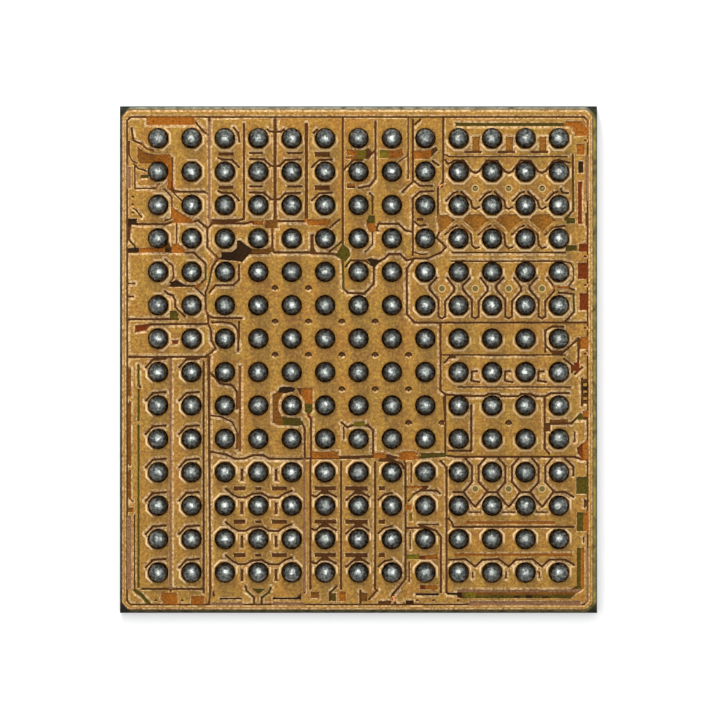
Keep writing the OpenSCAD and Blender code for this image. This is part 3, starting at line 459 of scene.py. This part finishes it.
def solder_material(settings, centre_z, radius):
    """Reflowed solder: a painted highlight on the crown and painted shade down the sides, by height."""
    material, shader = new_material("solder_metal", 0.4, metallic=1.0)
    place = object_place(material)
    skin = noise(material, place, 30, 3, 0.7)
    spots = noise(material, place, 28, 4, 0.7)
    parts = separate(material, place)
    height = shifted(material, parts["Z"], centre_z / MM, (centre_z + radius) / MM)
    # Painted light by height: pale at the crown, painted shade down to the sides
    painted_light_by_height = ramp(material, height, [
        (0.0, srgb(46, 24, 2)), (0.2, srgb(78, 52, 28)), (0.45, srgb(146, 130, 112)),
        (0.85, settings.metal),
    ])
    speckle = ramp(material, spots, [
        (0.39, srgb(40, 40, 40)), (0.5, srgb(168, 172, 170)), (0.6, srgb(255, 255, 255)),
    ])
    share = ramp(material, height, [(0.3, grey(1)), (0.9, grey(0.8))])
    colour = blend(material, share, painted_light_by_height, speckle, "MULTIPLY")
    link(material, colour, shader.inputs["Base Color"])
    shader.inputs["Specular Tint"].default_value = srgb(120, 80, 40)
    bumped(material, shader, skin, 0.8, 8 * UM)
    return material


def plain_material(name, colour, roughness, metallic=0.0, speck=None):
    """A colour, with a grain of a second one where it has specks."""
    material, shader = new_material(name, roughness, 0.1, metallic)
    place = object_place(material)
    grain = noise(material, place, 20, 2, 0.6)
    tone = ramp(material, grain, [(0.35, colour), (0.7, speck or colour)])
    link(material, tone, shader.inputs["Base Color"])
    return material


def lane_material():
    """The bare lane round the films: grey-green on top, dark below, black in the corners."""
    material, shader = new_material("bare_lane", 0.5, 0.1)
    place = object_place(material)
    parts = separate(material, place)
    across = ramp(material, shifted(material, parts["X"], -LANE_X, LANE_X), [
        (0.0, srgb(110, 104, 88)), (0.01, srgb(92, 80, 54)), (0.1, srgb(96, 88, 60)),
        (0.9, srgb(120, 110, 60)), (0.985, srgb(150, 134, 62)), (1.0, srgb(96, 88, 36)),
    ])
    height = shifted(material, parts["Y"], -LANE_Y, LANE_Y)
    along = ramp(material, height, [
        (0.0, srgb(54, 44, 14)), (0.012, srgb(80, 66, 26)), (0.03, srgb(120, 110, 70)),
        (0.97, srgb(120, 110, 70)), (0.985, srgb(140, 140, 120)), (1.0, srgb(150, 152, 134)),
    ])
    ends = ramp(material, height, [
        (0.0, grey(1)), (0.012, grey(0)), (0.988, grey(0)), (0.99, grey(1)),
    ])
    tone = blend(material, ends, across, along)
    grain = noise(material, place, 9, 3, 0.6)
    mottled = blend(material, 1.0, tone, ramp(material, grain, [
        (0.35, srgb(150, 150, 140)), (0.6, srgb(255, 255, 255)),
    ]), "MULTIPLY")
    far = maths(material, "ADD", *(maths(material, "ABSOLUTE", parts[a]) for a in "XY"))
    corner = ramp(material, shifted(material, far, 5.7, 5.9), [
        (0.2, srgb(255, 255, 255)), (0.4, srgb(90, 90, 80)),
    ])
    darkened = blend(material, 1.0, mottled, corner, "MULTIPLY")
    link(material, darkened, shader.inputs["Base Color"])
    return material


# ---- Mesh helpers ----


def merged_copy(node_name):
    """A bmesh of a node's mesh with its loose triangles joined at their corners."""
    bm = bmesh.new()
    bm.from_mesh(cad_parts[node_name].data)
    bmesh.ops.remove_doubles(bm, verts=bm.verts, dist=JOIN)
    bm.normal_update()
    return bm


def spot(vert):
    """A vertex's place seen from above, as a key."""
    return (round(vert.co.x / UM, 2), round(vert.co.y / UM, 2))


def grid_place(column, row):
    """Where a place given in ball columns and rows lies; the margins share out their steps."""
    first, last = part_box("solder_row_a"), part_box("solder_row_p")
    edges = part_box("silicon_die")[1]
    radius = (first[1].y - first[0].y) / 2
    far_x = first[1].x - radius
    pitch = 2 * far_x / (BALL_COLUMNS - 1)
    top_y, bottom_y = first[1].y - radius, last[0].y + radius
    rows = len(BALL_ROWS)
    x = (column - (BALL_COLUMNS + 1) / 2) * pitch
    if abs(x) > far_x:
        x = math.copysign(far_x + (abs(x) - far_x) / pitch / SIDE_STEPS * (edges.x - far_x), x)
    y = top_y - (row - 1) * pitch
    if row < 1:
        y = top_y + (1 - row) / TOP_STEPS * (edges.y - top_y)
    elif row > rows:
        y = bottom_y - (row - rows) / BOTTOM_STEPS * (edges.y + bottom_y)
    return x, y


def level(part, height):
    """Whether all the corners of an edge or face lie at that height."""
    return all(abs(v.co.z - height) < 0.1 * UM for v in part.verts)


def upright(face):
    """Whether a face stands on end."""
    return abs(face.normal.z) < 0.1


def opened(bm, top):
    """Takes away a film's flat top, and leaves the outlines of its walls open."""
    bmesh.ops.delete(bm, geom=[f for f in bm.faces if level(f, top)], context="FACES_ONLY")
    bmesh.ops.delete(bm, geom=[e for e in bm.edges if e.is_wire], context="EDGES")


def inward_shifts(bm, top):
    """The way into the film at each corner of its outline, and the corner that comes next."""
    after, normals = {}, {}
    for edge in bm.edges:
        sides = [level(f, top) for f in edge.link_faces]
        if not level(edge, top) or sorted(sides) != [False, True]:
            continue
        flat = edge.link_faces[sides.index(True)]
        wall = edge.link_faces[sides.index(False)]
        if min(v.co.z for v in wall.verts) < top - OUTER_WALL:
            loop = next(l for l in edge.link_loops if l.face == flat)
            start, end = loop.vert, loop.link_loop_next.vert
            after[start] = end
            way = (end.co - start.co).xy.normalized()
            for vert in (start, end):
                normals.setdefault(vert, []).append(Vector((-way.y, way.x)))
    shifts = {}
    for vert, sides in normals.items():
        middle = sum(sides, Vector((0, 0))).normalized()
        shifts[vert] = middle * min(1 / max(middle.dot(sides[0]), 0.3), LONGEST_MOVE)
    return shifts, after


def lean(height):
    """How far in a wall leans at a share of its height."""
    low = (0.0, 0.0)
    for high in LEAN:
        if height <= high[0]:
            return low[1] + (high[1] - low[1]) * (height - low[0]) / (high[0] - low[0])
        low = high
    return low[1]


def even_out(shifts, after, run):
    """Gives the corners of a side the same shift where the side would nearly vanish."""
    for _ in range(40):
        crossed = 0
        for vert, following in after.items():
            side = (following.co - vert.co).xy
            if (side + run * (shifts[following] - shifts[vert])).dot(side) < 0.1 * side.length_squared:
                mean = (shifts[following] + shifts[vert]) / 2
                shifts[following], shifts[vert] = mean, mean.copy()
                crossed += 1
        if not crossed:
            break


def settle(bm, top, shifts, run):
    """Shortens the shifts where the moved outlines of a film's top would cross or turn over."""
    rims = [
        loop for face in bm.faces if level(face, top) for loop in face.loops
        if not all(level(f, top) for f in loop.edge.link_faces)
    ]
    corners = list(dict.fromkeys(loop.vert for loop in rims))
    place = {vert: i for i, vert in enumerate(corners)}
    sides = [(place[loop.vert], place[loop.link_loop_next.vert]) for loop in rims]
    still = Vector((0, 0))
    for _ in range(60):
        spots = [(v.co.xy + run * shifts.get(v, still)) / UM for v in corners]
        _, _, triangles, sources = geometry.delaunay_2d_cdt(spots, sides, [], 1, 0.001)[:4]
        kept = [source[0] if len(source) == 1 else None for source in sources]
        beside = {(kept[face[k - 1]], kept[face[k]]) for face in triangles for k in range(3)}
        broken = {corners[i] for side in sides if side not in beside for i in side}
        if not broken:
            return
        for vert in broken & shifts.keys():
            shifts[vert] = shifts[vert] * SHORTENED
    raise RuntimeError("an outline of the film's top still crosses itself")


def sloped(bm, run):
    """Leans the outer walls of a film inwards and fills its flat top again."""
    top = max(v.co.z for v in bm.verts)
    shifts, after = inward_shifts(bm, top)
    even_out(shifts, after, run)
    settle(bm, top, shifts, run)
    opened(bm, top)
    ways = {spot(vert): way for vert, way in shifts.items()}
    walls = [f for f in bm.faces if upright(f)]
    walls += [e for e in bm.edges if all(upright(f) for f in e.link_faces)]
    base = min(v.co.z for v in bm.verts)
    for height, _ in LEAN[:-1]:
        walls = [g for g in walls if g.is_valid]
        geom = walls + list(dict.fromkeys(v for g in walls for v in g.verts))
        cut = bmesh.ops.bisect_plane(
            bm, geom=geom, dist=JOIN, plane_co=(0, 0, base + height * (top - base)),
            plane_no=(0, 0, 1),
        )
        walls = [g for g in cut["geom"] if not isinstance(g, bmesh.types.BMVert)]
    for vert in bm.verts:
        if spot(vert) in ways:
            vert.co.xy += ways[spot(vert)] * (run * lean((vert.co.z - base) / (top - base)))
    fill(bm, top)


def hollow_dimples(bm, top):
    """Turns the flat dimples over the vias into bowls and sorts their faces: painted shade on the floors and
    on walls turned from the upper light, and the slopes' painted highlight on walls that face it.
    """
    seen = set()
    for start in [f for f in bm.faces if level(f, top - DIMPLE)]:
        if start in seen:
            continue
        floor, waiting = {}, [start]
        while waiting:
            face = waiting.pop()
            if face not in floor:
                floor[face] = True
                waiting += [f for e in face.edges for f in e.link_faces if level(f, top - DIMPLE)]
        seen.update(floor)
        verts = list(dict.fromkeys(vert for face in floor for vert in face.verts))
        walls = {f for vert in verts for f in vert.link_faces} - floor.keys()
        centre = sum((v.co.xy for v in verts), Vector((0, 0))) / len(verts)
        for vert in verts:
            vert.co.xy = centre + BOWL_SHARE * (vert.co.xy - centre)
            vert.co.z = top - BOWL
        for face in floor:
            face.material_index = SHADED_BOWL_FLOOR
        for face in walls:
            face.normal_update()
            # Walls that face away from the upper light get painted shade, the others the painted highlight
            shaded = face.normal.y < 0.25 * abs(face.normal.x)
            face.material_index = BOWL_SHADE if shaded else SLOPE_HIGHLIGHT


def fill(bm, top, blocks=()):
    """Fills the open outlines of a film's top with triangles that keep to the blocks' edges."""
    loops = [e.link_loops[0] for e in bm.edges if len(e.link_faces) == 1]
    ways = [(loop.link_loop_next.vert, loop.vert) for loop in loops]
    corners = list(dict.fromkeys(vert for way in ways for vert in way))
    place = {vert: i for i, vert in enumerate(corners)}
    spots = [v.co.xy / UM for v in corners]
    sides = [[place[v] for v in way] for way in ways]
    for left, lower, right, upper in blocks:
        first = len(spots)
        spots += [Vector(p) / UM for p in ((left, lower), (right, lower), (right, upper), (left, upper))]
        sides += [[first + i, first + (i + 1) % 4] for i in range(4)]
    points, _, triangles, sources = geometry.delaunay_2d_cdt(spots, sides, [], 1, 0.001)[:4]
    made = []
    for point, source in zip(points, sources, strict=True):
        old = [i for i in source if i < len(corners)]
        made.append(corners[old[0]] if old else bm.verts.new((point.x * UM, point.y * UM, top)))
    borders = set(ways) | {(end, start) for start, end in ways}
    faces = [[made[i] for i in triangle] for triangle in triangles]
    beside = {(face[k - 1], face[k]): i for i, face in enumerate(faces) for k in range(3)}
    if any(way not in beside for way in ways):
        raise RuntimeError("an outline of the film's top is broken")
    waiting = [beside[way] for way in ways]
    kept = set(waiting)
    while waiting:
        face = faces[waiting.pop()]
        for k in range(3):
            way = (face[k], face[k - 1])
            if way not in borders and way in beside and beside[way] not in kept:
                kept.add(beside[way])
                waiting.append(beside[way])
    for i in sorted(kept):
        bm.faces.new(faces[i])
    bmesh.ops.delete(bm, geom=[v for v in bm.verts if not v.link_faces], context="VERTS")
    bm.normal_update()


def finished(bm, name, materials):
    """An object of the bmesh that rides on the chip."""
    mesh = bpy.data.meshes.new(name)
    bm.to_mesh(mesh)
    bm.free()
    piece = bpy.data.objects.new(name, mesh)
    bpy.context.scene.collection.objects.link(piece)
    for material in materials:
        mesh.materials.append(material)
    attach(piece, ROOT)
    return piece


def dressed(node_name, material):
    """Gives a CAD node its material."""
    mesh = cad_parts[node_name].data
    mesh.materials.clear()
    mesh.materials.append(material)


# ---- Operators ----


class CHIP_OT_layers(bpy.types.Operator):
    """Colour the die, the lower film and the copper"""

    bl_idname = "chip.layers"
    bl_label = "Die and layers"

    def execute(self, context):
        looks = {
            "backside_coating": plain_material("back_black", srgb(30, 31, 33), 0.7),
            "silicon_die": plain_material(
                "silicon_side", srgb(18, 20, 14), 0.5, speck=srgb(34, 34, 24)
            ),
            "on_chip_wiring": plain_material("wiring", srgb(40, 40, 30), 0.5, speck=srgb(60, 58, 44)),
            "seal_ring": plain_material("seal", srgb(120, 116, 92), 0.5),
            "passivation": lane_material(),
            "contact_pads": plain_material("contact", srgb(180, 180, 176), 0.4, 0.8),
            "via_plugs": plain_material("via_copper", srgb(170, 105, 60), 0.4, 0.9),
            "under_bump_pads": plain_material("bump_metal", srgb(120, 104, 78), 0.45, 0.6),
        }
        copper = plain_material("copper_plate", srgb(150, 96, 50), 0.6, 0.3)
        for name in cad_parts:
            if name in looks:
                dressed(name, looks[name])
            elif name.startswith("copper_") or name == "guard_ring":
                dressed(name, copper)
        return {"FINISHED"}


class CHIP_OT_floor(bpy.types.Operator):
    """Colour the lower film where the gaps in the copper show it"""

    bl_idname = "chip.floor"
    bl_label = "Lower film"

    def execute(self, context):
        bm = merged_copy("lower_film")
        top = max(v.co.z for v in bm.verts)
        blocks = [
            (*grid_place(left, lower), *grid_place(right, upper), index)
            for index, name in enumerate(BLOCK_COLOURS)
            for left, upper, right, lower in BLOCKS.get(name, [])
        ]
        opened(bm, top)
        fill(bm, top, [block[:4] for block in blocks])
        # Faces outside every block keep the dark floor colour, which is painted shade in the narrow gaps
        for face in bm.faces:
            if level(face, top):
                x, y = face.calc_center_median().xy
                for left, lower, right, upper, index in blocks:
                    if left < x < right and lower < y < upper:
                        face.material_index = index
        materials = [
            block_material(f"block_{name}".replace(" ", "_"), srgb(*colour))
            for name, colour in BLOCK_COLOURS.items()
        ]
        piece = finished(bm, "lower_film_coloured", materials)
        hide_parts("lower_film")
        return {"FINISHED"}


class CHIP_OT_film(bpy.types.Operator):
    """Slope the edges of the upper film over every copper field"""

    bl_idname = "chip.film"
    bl_label = "Upper film"

    def execute(self, context):
        settings = context.scene.chip.film
        edges = [
            slope_highlight_material(settings),
            # The dimples' floors and shaded walls are painted shade
            plain_material("dimple_floor_painted_shade", srgb(62, 34, 10), 0.5, speck=srgb(96, 62, 24)),
            plain_material("dimple_shade", srgb(56, 30, 8), 0.5, speck=srgb(76, 44, 16)),
        ]
        for field in (*FIELDS, "over_guard"):
            node_name = f"film_{field}"
            looks = [film_material(settings, field), *edges]
            bm = merged_copy(node_name)
            sloped(bm, settings.slope_run)
            for face in bm.faces:
                # Every slope gets the pale painted highlight
                leaning = 0.05 < abs(face.normal.z) < 0.985
                face.material_index = SLOPE_HIGHLIGHT if leaning else FLAT
            hollow_dimples(bm, max(v.co.z for v in bm.verts))
            piece = finished(bm, f"{node_name}_coat", looks)
            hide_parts(node_name)
        return {"FINISHED"}


class CHIP_OT_balls(bpy.types.Operator):
    """Build the solder balls, one piece for each lettered row"""

    bl_idname = "chip.balls"
    bl_label = "Solder balls"

    def execute(self, context):
        settings = context.scene.chip.balls
        radius = settings.diameter / 2
        crown_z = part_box("solder_row_a")[1].z
        solder = solder_material(settings, crown_z - radius, radius)
        for letter in BALL_ROWS:
            low, high = (Vector(corner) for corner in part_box(f"solder_row_{letter}"))
            first = low.x + radius
            step = (high.x - low.x - 2 * radius) / (BALL_COLUMNS - 1)
            centre_z = high.z - radius
            bm = bmesh.new()
            for column in range(BALL_COLUMNS):
                place = Vector((first + column * step, (low.y + high.y) / 2, centre_z))
                bmesh.ops.create_uvsphere(
                    bm, u_segments=16, v_segments=8, radius=radius, matrix=Matrix.Translation(place)
                )
            cut = bmesh.ops.bisect_plane(
                bm, geom=bm.verts[:] + bm.edges[:] + bm.faces[:], dist=JOIN,
                plane_co=(0, 0, low.z), plane_no=(0, 0, -1), clear_outer=True,
            )
            rim = [e for e in cut["geom_cut"] if isinstance(e, bmesh.types.BMEdge)]
            bmesh.ops.contextual_create(bm, geom=rim)
            for face in bm.faces:
                face.smooth = True
            piece = finished(bm, f"solder_balls_{letter}", [solder])
            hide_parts(f"solder_row_{letter}")
        return {"FINISHED"}


class CHIP_OT_stage(bpy.types.Operator):
    """Set up the floor, the lights and the camera"""

    bl_idname = "chip.stage"
    bl_label = "Stage"

    def execute(self, context):
        scene = context.scene
        settings = scene.chip.stage
        scene.view_settings.view_transform = "Standard"
        self.make_floor()
        self.make_world(scene)
        self.make_lamp("top_light", (0, 2 * MM, 30 * MM), 26 * MM, 0.0066)
        side = self.make_lamp("upper_edge_light", (-6 * MM, 25 * MM, 15 * MM), 10 * MM, 0.0062)
        side.visible_glossy = False
        camera_data = bpy.data.cameras.new("camera")
        camera_data.lens, camera_data.sensor_width = settings.lens, 36
        distance = settings.frame_width * settings.lens / camera_data.sensor_width
        camera_data.clip_start, camera_data.clip_end = distance * 0.1, distance * 20
        camera_data.shift_x, camera_data.shift_y = CAMERA_SHIFT
        camera = bpy.data.objects.new("camera", camera_data)
        camera.location = (0, 0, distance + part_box("film_core")[1].z)
        scene.collection.objects.link(camera)
        scene.camera = camera
        return {"FINISHED"}

    def make_floor(self):
        """A wide white floor that shows pale to the camera and keeps the chip's shadow."""
        bm = bmesh.new()
        bmesh.ops.create_grid(bm, x_segments=1, y_segments=1, size=400 * MM)
        mesh = bpy.data.meshes.new("floor")
        bm.to_mesh(mesh)
        bm.free()
        floor = bpy.data.objects.new("floor", mesh)
        bpy.context.scene.collection.objects.link(floor)
        material, shader = new_material("floor_white", 0.9, 0.0)
        shader.inputs["Base Color"].default_value = grey(0.85)
        path = add(material, "ShaderNodeLightPath")
        glow = maths(material, "MULTIPLY", path.outputs["Is Camera Ray"], 0.32)
        shader.inputs["Emission Color"].default_value = grey(1)
        link(material, glow, shader.inputs["Emission Strength"])
        mesh.materials.append(material)

    def make_world(self, scene):
        """White to the camera, bright overhead and dark at the horizon for everything else."""
        world = bpy.data.worlds.new("world")
        world.use_nodes = True
        scene.world = world
        background = world.node_tree.nodes["Background"]
        place = add(world, "ShaderNodeTexCoord")
        parts = separate(world, place.outputs["Generated"])
        sky = ramp(world, parts["Z"], [
            (0.0, (0.05, 0.045, 0.04, 1)), (0.4, grey(0.2)),
            (0.8, (0.36, 0.37, 0.38, 1)), (1.0, (0.5, 0.52, 0.54, 1)),
        ])
        path = add(world, "ShaderNodeLightPath")
        seen = maths(
            world, "MAXIMUM", path.outputs["Is Camera Ray"], path.outputs["Is Transmission Ray"]
        )
        colour = blend(world, seen, sky, grey(1))
        link(world, colour, background.inputs["Color"])

    def make_lamp(self, name, place, size, power):
        """A round lamp that faces the middle of the chip."""
        lamp_data = bpy.data.lights.new(name, "AREA")
        lamp_data.shape, lamp_data.size, lamp_data.energy = "DISK", size, power
        lamp = bpy.data.objects.new(name, lamp_data)
        lamp.location = place
        lamp.rotation_mode = "QUATERNION"
        lamp.rotation_quaternion = Vector(place).to_track_quat("Z", "Y")
        lamp.visible_camera = False
        bpy.context.scene.collection.objects.link(lamp)
        return lamp


class CHIP_PT_panel(bpy.types.Panel):
    """The chip's settings and operators"""

    bl_idname = "CHIP_PT_panel"
    bl_label = "Ball grid array chip"
    bl_space_type = "VIEW_3D"
    bl_region_type = "UI"
    bl_category = "Chip"

    def draw(self, context):
        settings = context.scene.chip
        for group in (settings.film, settings.balls, settings.stage):
            for name in group.__annotations__:
                self.layout.prop(group, name)
        for operator in OPERATORS:
            self.layout.operator(operator.bl_idname)


OPERATORS = (CHIP_OT_layers, CHIP_OT_floor, CHIP_OT_film, CHIP_OT_balls, CHIP_OT_stage)
CLASSES = (
    ChipFilmSettings, ChipBallSettings, ChipStageSettings, ChipSettings, *OPERATORS, CHIP_PT_panel,
)


def register():
    """Adds the chip's settings, operators and panel."""
    for cls in CLASSES:
        bpy.utils.register_class(cls)
    bpy.types.Scene.chip = PointerProperty(type=ChipSettings)


def unregister():
    """Takes them away again."""
    del bpy.types.Scene.chip
    for cls in reversed(CLASSES):
        bpy.utils.unregister_class(cls)


def main():
    """Builds the chip's looks."""
    register()
    bpy.ops.chip.layers()
    bpy.ops.chip.floor()
    bpy.ops.chip.film()
    bpy.ops.chip.balls()
    bpy.ops.chip.stage()


if __name__ == "__main__":
    main()
